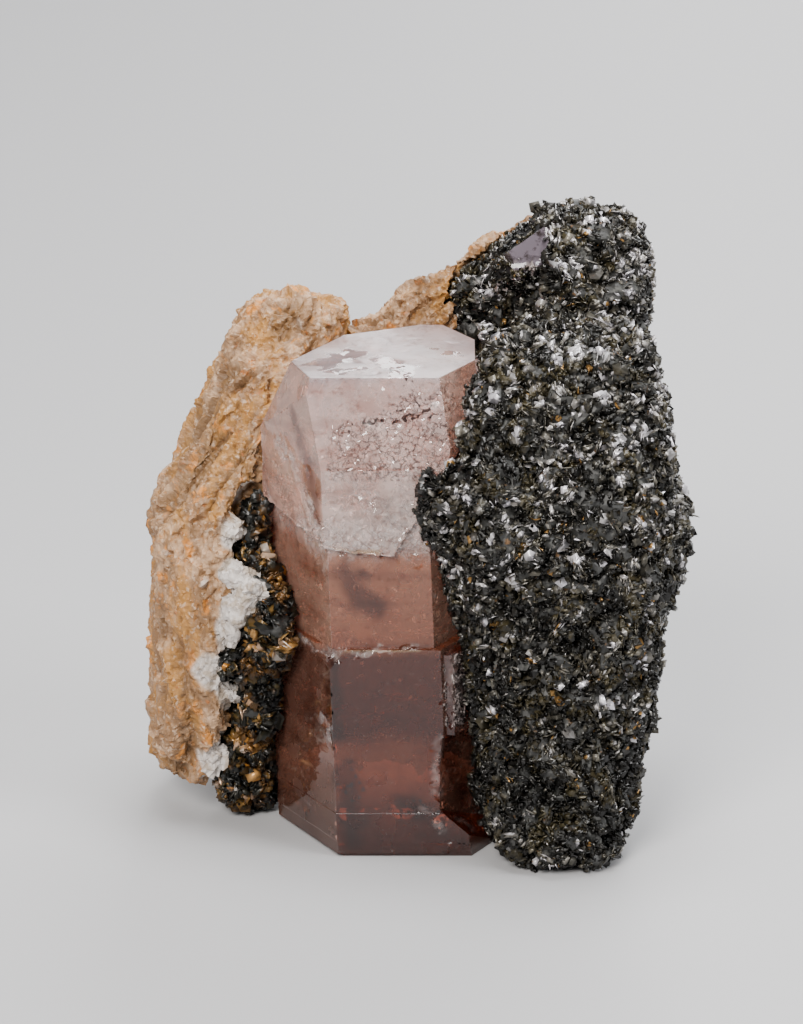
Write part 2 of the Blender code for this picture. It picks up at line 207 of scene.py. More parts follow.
def blotch_group():
    """Soft-edged patches: a mask from noise, used for stains, patches and clouding."""
    group = bpy.data.node_groups.new("patches", "ShaderNodeTree")
    for name, default in (("Scale", 200.0), ("From", 0.5), ("To", 0.6), ("Shift", 0.0)):
        socket = group.interface.new_socket(name, in_out="INPUT", socket_type="NodeSocketFloat")
        socket.default_value = default
    stretch = group.interface.new_socket(
        "Stretch", in_out="INPUT", socket_type="NodeSocketVector"
    )
    stretch.default_value = (1.0, 1.0, 1.0)
    group.interface.new_socket("Mask", in_out="OUTPUT", socket_type="NodeSocketFloat")
    start = group.nodes.new("NodeGroupInput")
    end = group.nodes.new("NodeGroupOutput")
    place = group.nodes.new("ShaderNodeTexCoord")
    stretched = add_node(group, "ShaderNodeVectorMath", operation="MULTIPLY")
    moved = add_node(group, "ShaderNodeVectorMath", operation="ADD")
    cloud = add_node(group, "ShaderNodeTexNoise", noise_dimensions="3D")
    cloud.inputs["Detail"].default_value = 6.0
    cloud.inputs["Roughness"].default_value = 0.62
    edge = add_node(group, "ShaderNodeMapRange", interpolation_type="SMOOTHSTEP")
    link = group.links.new
    link(place.outputs["Object"], stretched.inputs[0])
    link(start.outputs["Stretch"], stretched.inputs[1])
    link(stretched.outputs[0], moved.inputs[0])
    link(start.outputs["Shift"], moved.inputs[1])
    link(moved.outputs[0], cloud.inputs["Vector"])
    link(start.outputs["Scale"], cloud.inputs["Scale"])
    link(cloud.outputs["Fac"], edge.inputs["Value"])
    link(start.outputs["From"], edge.inputs["From Min"])
    link(start.outputs["To"], edge.inputs["From Max"])
    link(edge.outputs["Result"], end.inputs["Mask"])
    return group


patches = blotch_group()


def add_patches(tree, scale, low, high, shift=0.0, stretch=(1, 1, 1)):
    node = add_node(tree, "ShaderNodeGroup", node_tree=patches)
    for name, value in (("Scale", scale), ("From", low), ("To", high), ("Shift", shift)):
        node.inputs[name].default_value = value
    node.inputs["Stretch"].default_value = stretch
    return node.outputs["Mask"]


def tint(tree, colour, mask, over):
    """Lays a colour over another where the mask is white."""
    mix = add_node(tree, "ShaderNodeMix", data_type="RGBA")
    tree.links.new(mask, mix.inputs["Factor"])
    for socket, value in (("A", colour), ("B", over)):
        if isinstance(value, tuple):
            mix.inputs[socket].default_value = (*value, 1.0)
        else:
            tree.links.new(value, mix.inputs[socket])
    return mix.outputs["Result"]


def tint_part(tree, colour, mask, over, most):
    """Lays a colour over another where the mask is white, and never more than most of it."""
    part = add_node(tree, "ShaderNodeMath", operation="MULTIPLY")
    part.inputs[1].default_value = most
    tree.links.new(mask, part.inputs[0])
    return tint(tree, colour, part.outputs["Value"], over)


def shade(tree, colour, mask, by, most):
    """Multiplies a colour where the mask is white, so that dark places keep their hue."""
    part = add_node(tree, "ShaderNodeMath", operation="MULTIPLY")
    part.inputs[1].default_value = most
    tree.links.new(mask, part.inputs[0])
    mix = add_node(tree, "ShaderNodeMix", data_type="RGBA", blend_type="MULTIPLY")
    mix.inputs["B"].default_value = (*by, 1.0)
    tree.links.new(part.outputs["Value"], mix.inputs["Factor"])
    tree.links.new(colour, mix.inputs["A"])
    return mix.outputs["Result"]


def plus(tree, one, other):
    """Both masks together."""
    both = add_node(tree, "ShaderNodeMath", operation="ADD", use_clamp=True)
    tree.links.new(one, both.inputs[0])
    tree.links.new(other, both.inputs[1])
    return both.outputs["Value"]


def marked(tree, name, low, high):
    """The mark that a piece's surface carries, as a mask that opens from low to high."""
    mark = add_node(tree, "ShaderNodeAttribute", attribute_name=name)
    mask = add_node(tree, "ShaderNodeMapRange", interpolation_type="SMOOTHSTEP")
    mask.inputs["From Min"].default_value = low
    mask.inputs["From Max"].default_value = high
    tree.links.new(mark.outputs["Fac"], mask.inputs["Value"])
    return mask.outputs["Result"]


def add_grain(tree, shader, scale, depth, strength):
    """Fine roughness, finer than the mesh, as bump."""
    place = add_node(tree, "ShaderNodeTexCoord")
    grain = add_node(tree, "ShaderNodeTexNoise")
    grain.inputs["Scale"].default_value = scale
    grain.inputs["Detail"].default_value = 5.0
    bump = add_node(tree, "ShaderNodeBump")
    bump.inputs["Strength"].default_value = strength
    bump.inputs["Distance"].default_value = depth * MM
    tree.links.new(place.outputs["Object"], grain.inputs["Vector"])
    tree.links.new(grain.outputs["Fac"], bump.inputs["Height"])
    tree.links.new(bump.outputs["Normal"], shader.inputs["Normal"])


def feldspar_finish():
    material, tree, shader = new_material("stained_feldspar")
    shader.inputs["Roughness"].default_value = 0.5
    shader.inputs["Specular IOR Level"].default_value = 0.4
    colour = tint(tree, (0.19, 0.100, 0.044), add_patches(tree, 170, 0.44, 0.57), (0.42, 0.265, 0.155))
    tan = add_patches(tree, 420, 0.50, 0.60, 2.0, (1, 1, 0.5))
    colour = tint_part(tree, colour, tan, (0.20, 0.108, 0.048), 0.8)
    ochre = add_patches(tree, 190, 0.47, 0.59, 5.0, (1, 1, 0.35))
    colour = tint_part(tree, colour, ochre, (0.33, 0.155, 0.034), 0.9)
    colour = tint_part(tree, colour, marked(tree, "valley", 0.0, 1.0), (0.16, 0.085, 0.030), 0.7)
    orange = add_patches(tree, 360, 0.57, 0.66, 8.0, (1, 1, 0.7))
    colour = tint(tree, colour, orange, (0.50, 0.19, 0.032))
    flecks = add_patches(tree, 1000, 0.57, 0.63, 9.0)
    colour = tint_part(tree, colour, flecks, (0.30, 0.125, 0.030), 0.7)
    pale = add_patches(tree, 1150, 0.57, 0.62, 7.0)
    colour = tint_part(tree, colour, pale, (0.52, 0.38, 0.27), 0.6)
    colour = tint(tree, colour, marked(tree, "crease", 0.1, 1.1), (0.13, 0.07, 0.032))
    rust = add_patches(tree, 620, 0.62, 0.70, 11.0)
    colour = tint(tree, colour, rust, (0.27, 0.095, 0.025))
    white = tint(
        tree, (0.50, 0.46, 0.43), add_patches(tree, 520, 0.46, 0.60, 17.0), (0.33, 0.27, 0.215)
    )
    colour = tint(tree, colour, marked(tree, "chalk", 0.55, 0.95), white)
    specks = add_patches(tree, 1500, 0.70, 0.73, 14.0)
    colour = tint(tree, colour, specks, (0.03, 0.025, 0.02))
    tree.links.new(colour, shader.inputs["Base Color"])
    add_grain(tree, shader, 2300.0, 0.3, 0.6)
    return material


bm = merged_copy("feldspar_slab")
for x, y, z, *radii in CHALK_LUMPS:
    lump = bmesh.ops.create_icosphere(bm, subdivisions=3, radius=MM)["verts"]
    bmesh.ops.scale(bm, verts=lump, vec=radii)
    bmesh.ops.translate(bm, verts=lump, vec=FOOT + Vector((x, y, z)) * MM)
slab = add_piece("feldspar", bm)
reskin(slab, SLAB_VOXEL, smoothing=1)
shape_surface(slab, slab_relief, ("crease", "chalk", "valley"))
slab.data.materials.clear()
slab.data.materials.append(feldspar_finish())
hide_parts("feldspar_slab")
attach(slab, "root")


# The mica mass: thousands of small black to silver mica flakes, matted in every direction on a
# dark core. Some have gone golden with rust. They overlap the crystal's right side and reach
# the height of the lobe behind its top.
CORE_VOXEL = 0.55
CLUMP_DEPTH = 2.1
FLAKE_SIDES = 5
FLAKE_ROOT = 0.16
BOOK_SHARE = 0.22
BOOK_STEP = 0.11
# Lumps that round off the step under the lobe, and hollows where the crystal shows: mm.
MICA_LUMPS = [
    (22.0, 18.5, 64.5, 5.0, 4.5, 4.5),
    (28.0, 17.5, 63.0, 4.5, 4.5, 5.0),
    (17.5, 17.0, 64.5, 3.0, 3.0, 2.6),
    (20.5, 14.0, 61.0, 5.5, 4.0, 3.2),
    (27.0, 13.5, 60.0, 5.5, 4.2, 3.6),
]
MICA_HOLLOWS = [((10.6, 12.5, 64.5), 4.2, 2.4)]


def cleft_at(place):
    """1 in the deep clefts between the clumps of flakes, which are some 4 mm wide."""
    bend = noise.noise_vector(place / 5.0) * 1.4
    return crease(noise.noise((place + bend) / 3.6), 0.24)


def mica_core_relief(place, normal):
    """Clumps with clefts between them, sunk under the tips of the flakes."""
    cleft = cleft_at(place)
    swell = noise.noise(place / 6.5 + Vector((8, 1, 4)))
    knobs = noise.fractal(place / 1.8, 0.8, 2.0, 3)
    hollow = sum(
        depth * max(0.0, 1.0 - (place - Vector(middle)).length / reach)
        for middle, reach, depth in MICA_HOLLOWS
    )
    distance = 0.35 * knobs + 0.9 * swell - CLUMP_DEPTH * cleft**1.3 - 0.25 - hollow
    return (distance,)


def mica_core_finish(name, stain):
    material, tree, shader = new_material(name)
    shader.inputs["Roughness"].default_value = 0.55
    colour = tint(
        tree, (0.012, 0.012, 0.011), add_patches(tree, 900, 0.52, 0.64), (0.05, 0.05, 0.045)
    )
    colour = tint(tree, colour, add_patches(tree, 500, 0.62, 0.70, 3.0), stain)
    tree.links.new(colour, shader.inputs["Base Color"])
    return material


def flake_finish(name, stops, stain, roughness, metal):
    """Mica by the tone that each flake carries: its colour, and how silvery it is."""
    material, tree, shader = new_material(name)
    tone = add_node(tree, "ShaderNodeAttribute", attribute_name="tone")
    ramp = add_node(tree, "ShaderNodeValToRGB")
    set_ramp(ramp, stops)
    tree.links.new(tone.outputs["Fac"], ramp.inputs["Fac"])
    tree.links.new(
        tint_part(tree, ramp.outputs["Color"], add_patches(tree, 240, 0.50, 0.62, 3.0), stain, 0.45),
        shader.inputs["Base Color"],
    )
    silver = add_node(tree, "ShaderNodeMapRange")
    silver.inputs["To Min"].default_value = metal[0]
    silver.inputs["To Max"].default_value = metal[1]
    tree.links.new(tone.outputs["Fac"], silver.inputs["Value"])
    tree.links.new(silver.outputs["Result"], shader.inputs["Metallic"])
    shader.inputs["Roughness"].default_value = roughness
    shader.inputs["IOR"].default_value = 1.6
    shader.inputs["Specular IOR Level"].default_value = 0.35
    return material


def sample_surface(piece, count, rng):
    """Random places all over the piece, with the normals there."""
    mesh = piece.data
    mesh.calc_loop_triangles()
    corners = np.empty(len(mesh.vertices) * 3)
    mesh.vertices.foreach_get("co", corners)
    corners = corners.reshape(-1, 3)
    index = np.empty(len(mesh.loop_triangles) * 3, dtype=np.int32)
    mesh.loop_triangles.foreach_get("vertices", index)
    a, b, c = (corners[index.reshape(-1, 3)[:, n]] for n in range(3))
    across = np.cross(b - a, c - a)
    area = np.linalg.norm(across, axis=1)
    # The remesh gives faces and corners in any order, so both are put in order by place.
    middles = np.round((a + b + c) / (0.03 * MM))
    order = np.lexsort((middles[:, 0], middles[:, 1], middles[:, 2]))
    across, area = across[order], area[order]
    triangles = np.stack([a, b, c], axis=1)[order]
    rank = np.argsort((triangles * (1.0, 1.7, 2.9)).sum(axis=2), axis=1)
    a, b, c = (triangles[np.arange(len(area)), rank[:, n]] for n in range(3))
    chosen = rng.choice(len(area), size=count, p=area / area.sum())
    u, v = rng.random((2, count, 1))
    folded = (u + v) > 1
    u, v = np.where(folded, 1 - u, u), np.where(folded, 1 - v, v)
    places = a[chosen] + u * (b - a)[chosen] + v * (c - a)[chosen]
    normals = across[chosen] / area[chosen][:, None]
    return places, normals


def clear_of(tree, places, room):
    """True for each place that is outside the closed surface in the tree by more than room."""
    keep = np.ones(len(places), dtype=bool)
    for n, place in enumerate(places):
        found, normal, _, distance = tree.find_nearest(place, 6 * MM)
        if found is None:
            continue
        outside = (Vector(place) - found).dot(normal) > 0
        keep[n] = outside and distance > room[n]
    return keep


def unit(vectors):
    return vectors / np.linalg.norm(vectors, axis=1, keepdims=True)


def flake_mesh(name, places, upright, size, thickness, tone, rng):
    """One mesh of flat six-sided flakes, each tapering below to the point it grows from."""
    count = len(places)
    spin = unit(np.cross(upright, rng.normal(size=(count, 3))))
    side = np.cross(upright, spin)
    angle = (np.arange(FLAKE_SIDES) / FLAKE_SIDES) * math.tau
    angle = angle[None, :] + rng.uniform(-0.22, 0.22, (count, FLAKE_SIDES))
    reach = size[:, None] * rng.uniform(0.72, 1.12, (count, FLAKE_SIDES))
    stretch = rng.uniform(0.62, 1.0, (count, 1))
    x, y = reach * np.cos(angle), reach * np.sin(angle) * stretch
    curl = rng.normal(0, 0.10, (count, 1)) * (x**2 - y**2) / size[:, None]
    rim = (
        places[:, None, :]
        + x[:, :, None] * spin[:, None, :]
        + y[:, :, None] * side[:, None, :]
        + curl[:, :, None] * upright[:, None, :]
    )
    root = places - upright * thickness[:, None]
    verts = np.concatenate([rim, root[:, None, :]], axis=1)
    verts[:, :, 2] = np.maximum(verts[:, :, 2], 0.02 * MM)
    sides = FLAKE_SIDES
    face = list(range(sides))
    for n in range(sides):
        face += [(n + 1) % sides, n, sides]
    loops = (np.arange(count)[:, None] * (sides + 1) + np.array(face)[None, :]).ravel()
    sizes = np.array([sides] + [3] * sides)
    starts = np.concatenate([[0], np.cumsum(sizes)[:-1]])
    starts = (np.arange(count)[:, None] * sizes.sum() + starts[None, :]).ravel()
    mesh = bpy.data.meshes.new(name)
    mesh.vertices.add(count * (sides + 1))
    mesh.vertices.foreach_set("co", verts.ravel())
    mesh.loops.add(len(loops))
    mesh.loops.foreach_set("vertex_index", loops.astype(np.int32))
    mesh.polygons.add(len(starts))
    mesh.polygons.foreach_set("loop_start", starts.astype(np.int32))
    mesh.update(calc_edges=True)
    layer = mesh.attributes.new("tone", "FLOAT", "FACE")
    layer.data.foreach_set("value", np.repeat(tone, sides + 1).astype(np.float32))
    return mesh


def noise_at(places, scale, shift):
    """Smooth noise vectors at the places, which vary over some millimetres."""
    vectors = [noise.noise_vector(Vector(place) / (scale * MM) + shift) for place in places]
    return np.array(vectors)


def add_flakes(name, core, count, seed, band, material, avoid, node, bright, size=1.0):
    """Covers the core with flakes, between two heights, clear of what is in avoid."""
    rng = np.random.default_rng(seed)
    places, normals = sample_surface(core, count, rng)
    height = places[:, 2] / MM
    keep = (height > band[0]) & (height <= band[1])
    places, normals = places[keep], normals[keep]
    count = len(places)
    matted = noise_at(places, 2.0, Vector((3, 5, 7))) * 1.7
    upright = unit(
        matted + 0.6 * unit(rng.normal(size=(count, 3))) + 0.75 * rng.random((count, 1)) * normals
    )
    upright *= np.where((upright * normals).sum(axis=1) < 0, -1.0, 1.0)[:, None]
    wide = (0.24 + 0.40 * rng.random(count) + 0.70 * rng.random(count) ** 8) * MM * size
    places = places + normals * (rng.uniform(-0.1, 0.45, (count, 1)) * MM)
    sparkle = noise_at(places, 1.6, Vector((11, 2, 6)))
    cluster = noise_at(places, 4.5, Vector((1, 9, 3)))[:, 0]
    # Painted shade: flakes deep in the clefts between the clumps take a darker tone.
    clefts = np.array([cleft_at((Vector(place) - FOOT) / MM) for place in places])
    tone = 0.85 * rng.beta(1.0, 2.4, size=count) + 0.85 * sparkle[:, 0] + 0.5 * cluster + bright
    tone -= 0.30 * clefts
    tone = np.clip(tone + 0.25 * (wide > 0.62 * size * MM), 0, 0.96)
    golden = rng.random(count) < 0.006 + 0.12 * (sparkle[:, 1] > 0.42)
    tone[golden] = 1.0
    keep = places[:, 2] - wide * np.sqrt(1 - upright[:, 2] ** 2) > 0.02 * MM
    for tree, share in avoid:
        keep[keep] = clear_of(tree, places[keep], wide[keep] * share)
    places, upright, wide, tone = places[keep], upright[keep], wide[keep], tone[keep]
    book = np.flatnonzero(rng.random(len(places)) < BOOK_SHARE)
    for leaf in (1, 2, 3):
        drop = upright[book] * BOOK_STEP * MM * leaf
        slip = rng.normal(0, 0.05 * MM, drop.shape)
        places = np.concatenate([places, places[book] - drop + slip])
        upright = np.concatenate([upright, upright[book]])
        wide = np.concatenate([wide, wide[book] * (1 + 0.07 * leaf)])
        # Painted shade: the leaves under a book's top flake take a darker, less silvery tone.
        tone = np.concatenate([tone, tone[book] * 0.8])
    mesh = flake_mesh(name, places, upright, wide, wide * FLAKE_ROOT, tone, rng)
    mesh.materials.append(material)
    flakes = bpy.data.objects.new(name, mesh)
    bpy.context.scene.collection.objects.link(flakes)
    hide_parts(node)
    return flakes


quartz_tree = tree_of(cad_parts["smoky_quartz"])
slab_tree = tree_of(slab)
bm = merged_copy("mica_mass")
for x, y, z, *radii in MICA_LUMPS:
    lump = bmesh.ops.create_icosphere(bm, subdivisions=3, radius=MM)["verts"]
    bmesh.ops.scale(bm, verts=lump, vec=radii)
    bmesh.ops.translate(bm, verts=lump, vec=FOOT + Vector((x, y, z)) * MM)
mica_core = add_piece("mica_core", bm)
reskin(mica_core, CORE_VOXEL, smoothing=1)
shape_surface(mica_core, mica_core_relief)
mica_core.data.materials.clear()
mica_core.data.materials.append(mica_core_finish("mica_dark_core", (0.12, 0.06, 0.02)))
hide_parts("mica_mass")
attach(mica_core, "root")

mica_finish = flake_finish(
    "mica_flakes",
    [
        (0.0, (0.009, 0.008, 0.007)),
        (0.30, (0.026, 0.024, 0.020)),
        (0.46, (0.085, 0.078, 0.062)),
        (0.60, (0.24, 0.225, 0.205)),
        (0.74, (0.52, 0.50, 0.51)),
        (0.96, (0.84, 0.81, 0.86)),
        (1.0, (0.36, 0.20, 0.065)),
    ],
    (0.085, 0.068, 0.030),
    0.24,
    (0.0, 0.55),
)
# name: lowest and highest height in mm, flakes wanted over the whole core, seed, and tone added to
# every flake, darker towards the foot and lighter towards the crest.
MICA_BANDS = {
    "mica_flakes_foot": (0.0, 20.0, 64000, 11, -0.33),
    "mica_flakes_flank": (20.0, 38.0, 64000, 12, -0.15),
    "mica_flakes_shoulder": (38.0, 54.0, 60000, 14, -0.02),
    "mica_flakes_lobe": (54.0, 66.0, 60000, 13, 0.04),
    "mica_flakes_crest": (66.0, 99.0, 60000, 15, 0.06),
}
for name, (low, high, wanted, seed, bright) in MICA_BANDS.items():
    band_flakes = add_flakes(
        name,
        mica_core,
        wanted,
        seed,
        (low, high),
        mica_finish,
        [(crystal_tree, 0.75), (quartz_tree, 0.1), (slab_tree, 0.4)],
        "mica_mass",
        bright,
    )
    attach(band_flakes, "root")


# The rusty seam: a thinner band of the same mica between the slab and the crystal, black with
# olive and orange iron stain, grown fast to both.
seam_core = add_piece("seam_core", merged_copy("mica_seam"))
reskin(seam_core, CORE_VOXEL, smoothing=1)
shape_surface(seam_core, mica_core_relief)
seam_core.data.materials.clear()
seam_core.data.materials.append(mica_core_finish("seam_dark_core", (0.30, 0.13, 0.03)))
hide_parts("mica_seam")
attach(seam_core, "root")
seam_finish = flake_finish(
    "rusty_flakes",
    [
        (0.0, (0.010, 0.010, 0.009)),
        (0.35, (0.020, 0.019, 0.014)),
        (0.52, (0.045, 0.036, 0.016)),
        (0.68, (0.17, 0.095, 0.025)),
        (0.80, (0.42, 0.22, 0.07)),
        (0.90, (0.60, 0.55, 0.50)),
        (1.0, (0.40, 0.17, 0.03)),
    ],
    (0.26, 0.115, 0.020),
    0.30,
    (0.1, 0.4),
)
seam_flakes = add_flakes(
    "seam_flakes",
    seam_core,
    12600,
    21,
    (0.0, 99.0),
    seam_finish,
    [(crystal_tree, 0.75), (slab_tree, 0.5)],
    "mica_seam",
    -0.06,
    1.3,
)
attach(seam_flakes, "root")


# The smoky quartz: a glassy grey six-sided crystal grown into the mica's upper lobe, one
# striated face to the front.
QUARTZ_BREAK = 73.2


def quartz_relief(place, normal):
    """Glassy shards below the whole facet at the tip."""
    bend = noise.noise_vector(place / 1.5)
    broken = max(0.0, min(1.0, (QUARTZ_BREAK + 0.8 * bend.x - place.z) / 0.8))
    broken = max(broken, max(0.0, min(1.0, (place.x + 0.6 * bend.y - 18.4) / 0.6)))
    shard, split = shatter(place + 0.6 * bend, 1.6)
    distance = broken * (0.9 * shard - 0.25) - 0.05
    flank = 1.0 if normal.z > 0.6 or normal.x < -0.6 else 0.0
    distance -= 0.22 * flank * crease(noise.noise(Vector((0, place.y / 0.7, place.x / 8))), 0.4)
    return distance, broken * crease(split, 0.12), flank


def quartz_finish():
    material, tree, shader = new_material("smoky_quartz_glass")
    shader.inputs["Transmission Weight"].default_value = 0.5
    shader.inputs["IOR"].default_value = 1.54
    shader.inputs["Specular IOR Level"].default_value = 0.3
    smoky = add_patches(tree, 420, 0.45, 0.60)
    colour = tint(tree, (0.21, 0.175, 0.21), smoky, (0.035, 0.025, 0.022))
    colour = tint_part(tree, colour, marked(tree, "split", 0.1, 1.0), (0.65, 0.55, 0.52), 0.7)
    flank = marked(tree, "flank", 0.3, 0.7)
    colour = tint(tree, colour, flank, (0.010, 0.009, 0.010))
    tree.links.new(colour, shader.inputs["Base Color"])
    rough = add_node(tree, "ShaderNodeMapRange")
    rough.inputs["To Min"].default_value = 0.06
    rough.inputs["To Max"].default_value = 0.50
    tree.links.new(flank, rough.inputs["Value"])
    tree.links.new(rough.outputs["Result"], shader.inputs["Roughness"])
    return material


def soften_edges(bm, width):
    """Breaks the sharp edges between the faces, which are first made whole again."""
    bmesh.ops.dissolve_limit(bm, angle_limit=math.radians(0.6), verts=bm.verts, edges=bm.edges)
    sharp = [edge for edge in bm.edges if edge.calc_face_angle(0.0) > math.radians(8)]
    bmesh.ops.bevel(
        bm,
        geom=sharp,
        offset=width * MM,
        offset_type="OFFSET",
        segments=2,
        profile=0.5,
        affect="EDGES",
        clamp_overlap=True,
        material=-1,
    )


def refine(bm, longest):
    """Splits every edge that is longer than longest(place) allows, in millimetres."""
    for _ in range(9):
        bmesh.ops.triangulate(bm, faces=bm.faces)
        long_edges = []
        for edge in bm.edges:
            middle = ((edge.verts[0].co + edge.verts[1].co) / 2 - FOOT) / MM
            if edge.calc_length() / MM > longest(middle):
                long_edges.append(edge)
        if not long_edges:
            break
        bmesh.ops.subdivide_edges(bm, edges=long_edges, cuts=1)
    bmesh.ops.triangulate(bm, faces=bm.faces)


def quartz_step(place):
    return 0.25


bm = merged_copy("smoky_quartz")
soften_edges(bm, 0.12)
refine(bm, quartz_step)
quartz = add_piece("quartz_glass", bm, quartz_finish())
shape_surface(quartz, quartz_relief, ("split", "flank"))
quartz.data.shade_smooth()
quartz.data.set_sharp_from_angle(angle=math.radians(25))
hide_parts("smoky_quartz")
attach(quartz, "root")

# Dark mica flakes have grown over the quartz, except on its front face near the tip.
bm = bmesh.new()
bm.from_mesh(quartz.data)
whole = [
    face
    for face in bm.faces
    if face.normal.y < -0.3 and abs(face.normal.x) < 0.6 and face.calc_center_median().z > 71.0 * MM
]
bmesh.ops.delete(bm, geom=whole, context="FACES")
overgrown = add_piece("overgrown", bm)
over_quartz = add_flakes(
    "quartz_flakes",
    overgrown,
    2000,
    41,
    (0.0, 99.0),
    mica_finish,
    [],
    "mica_mass",
    -0.18,
    0.8,
)
bpy.data.objects.remove(overgrown)
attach(over_quartz, "root")


# The apatite: one clear rose-pink prism. Its faces are bright, its crown is pale and etched, and it
# darkens to rose brown towards the foot, partly its own colour and partly painted shade. Old
# cracks cross it at the partings.
CRYSTAL_EDGE = 0.14
FINE_STEP = 0.40
MIDDLE_STEP = 0.62
COARSE_STEP = 1.6
CROWN_LINE = 41.4
BEVEL_LINE = 52.1
TOP_LINE = 63.3
# White fractures near the skin, as runs of places, with how far each spreads: mm.
FROST_RUNS = [
    (1.1, (-17.6, 13.4, 53.0), (-17.6, 13.7, 47.8), (-16.6, 12.6, 44.2), (-15.3, 11.4, 41.8)),
    (1.3, (-15.3, 9.2, 53.0), (-12.8, 5.0, 49.7), (-11.6, 3.0, 46.2), (-10.4, 1.6, 42.4)),
    (0.7, (-12.4, 5.4, 41.6), (-9.6, 0.4, 41.9), (-3.1, 0.1, 41.8)),
    (1.9, (-4.4, 0.1, 49.2), (-1.6, 0.1, 45.5), (1.0, 0.6, 42.0)),
    (1.5, (2.8, 0.1, 52.0), (1.4, 0.1, 46.0)),
    (0.8, (-13.8, 8.8, 27.4), (-10.0, 2.4, 27.0), (-7.9, 0.5, 27.4)),
    (0.5, (-6.9, 0.1, 28.0), (2.0, 0.1, 28.2)),
    (0.9, (-9.9, 2.0, 18.2), (-8.9, 0.6, 15.6)),
]
# Bleached places, the low ones on the right front with a painted grey reflection; places of painted
# shade with some smoky brown; and sooty places, in the same way.
ASH_AND_REFLECTION_RUNS = [
    (2.9, (6.6, 0.9, 26.6), (7.0, 1.4, 22.0), (7.8, 2.4, 18.0)),
    (1.5, (3.2, 0.1, 6.2), (5.2, 0.4, 4.6), (8.6, 3.4, 3.2)),
    (1.4, (4.6, 0.1, 15.5), (5.0, 0.1, 8.5)),
]
CRUST_RUNS = [
    (0.45, (-11.0, 4.0, 41.2), (-9.6, 0.3, 41.2), (-2.6, 0.0, 41.3)),
    (0.40, (-7.0, 0.0, 28.1), (2.5, 0.0, 28.2)),
    (0.50, (6.0, 0.8, 28.2), (9.5, 4.5, 28.2)),
]
# Painted shade, with some of the crystal's own smoky brown, darkens the places along these runs.
SMOKE_AND_SHADE_RUNS = [
    (2.8, (-7.2, 0.1, 38.5), (-4.5, 0.1, 35.0), (-3.0, 0.1, 33.5)),
    (2.3, (-13.5, 5.6, 57.0), (-11.3, 2.4, 51.5), (-10.4, 1.4, 45.5)),
    (1.8, (-8.4, 0.5, 26.6), (-8.4, 0.4, 17.2)),
    (2.6, (-7.0, 0.1, 12.0), (-6.0, 0.1, 2.0)),
    (2.2, (1.0, 0.1, 7.4), (4.6, 0.3, 5.0), (8.2, 3.0, 3.6)),
    (3.0, (6.2, 1.0, 15.0), (8.6, 4.6, 7.5)),
]
SOOT_RUNS = [
    (1.5, (-6.9, 0.1, 10.6), (-6.0, 0.1, 8.2)),
    (0.9, (2.2, 0.1, 7.4), (4.2, 0.2, 6.2)),
    (1.0, (-12.6, 7.2, 5.0), (-11.9, 6.0, 3.4)),
    (1.4, (-6.0, 0.9, 57.8), (3.6, 1.8, 59.4)),
    (1.6, (-1.5, 8.5, 63.3), (0.4, 6.2, 63.3), (0.8, 3.9, 63.3)),
]
# Where the top face is smooth and lets one look in, in the same way.
WINDOW_RUNS = [
    (2.6, (-9.6, 8.7, 63.3), (-6.3, 14.5, 63.3)),
    (1.5, (-8.5, 5.8, 63.3), (-4.2, 7.2, 63.3)),
    (2.4, (-2.4, 11.5, 63.3), (0.2, 7.4, 63.3), (0.4, 4.6, 63.3)),
    (0.9, (4.0, 17.0, 63.3), (7.4, 13.6, 63.3)),
]


def crystal_step(place):
    if place.z > CROWN_LINE - 1.5 and place.y < 6.0 or place.z > TOP_LINE - 1.0:
        return FINE_STEP
    return MIDDLE_STEP if place.y < 13.0 else COARSE_STEP


def near_runs(place, runs):
    """1 on one of the runs, falling to 0 where it no longer spreads."""
    share = 0.0
    for spread, *points in runs:
        for start, end in zip(points, points[1:]):
            start, end = Vector(start), Vector(end)
            on_line, along = intersect_point_line(place, start, end)
            if along < 0.0 or along > 1.0:
                on_line = start if along < 0.0 else end
            share = max(share, 1.0 - (place - on_line).length / spread)
    return share


def etch_share(place):
    """How much of the skin is etched: the lower right of the crown's bevel, and spots on top."""
    if place.z > TOP_LINE - 0.15:
        return 0.4 * max(0.0, min(1.0, 2.6 * noise.noise(place / 5.0 + Vector((1, 6, 2))) + 0.35))
    upper = 57.0 + 0.42 * (place.x + 9.0) + 1.4 * noise.noise(place / 2.5)
    if place.y > 5.0 or place.z < BEVEL_LINE - 1.5:
        return 0.0
    return max(0.0, min(1.0, (upper - place.z) / 0.8)) * max(0.0, min(1.0, (place.x + 9.6) / 1.2))


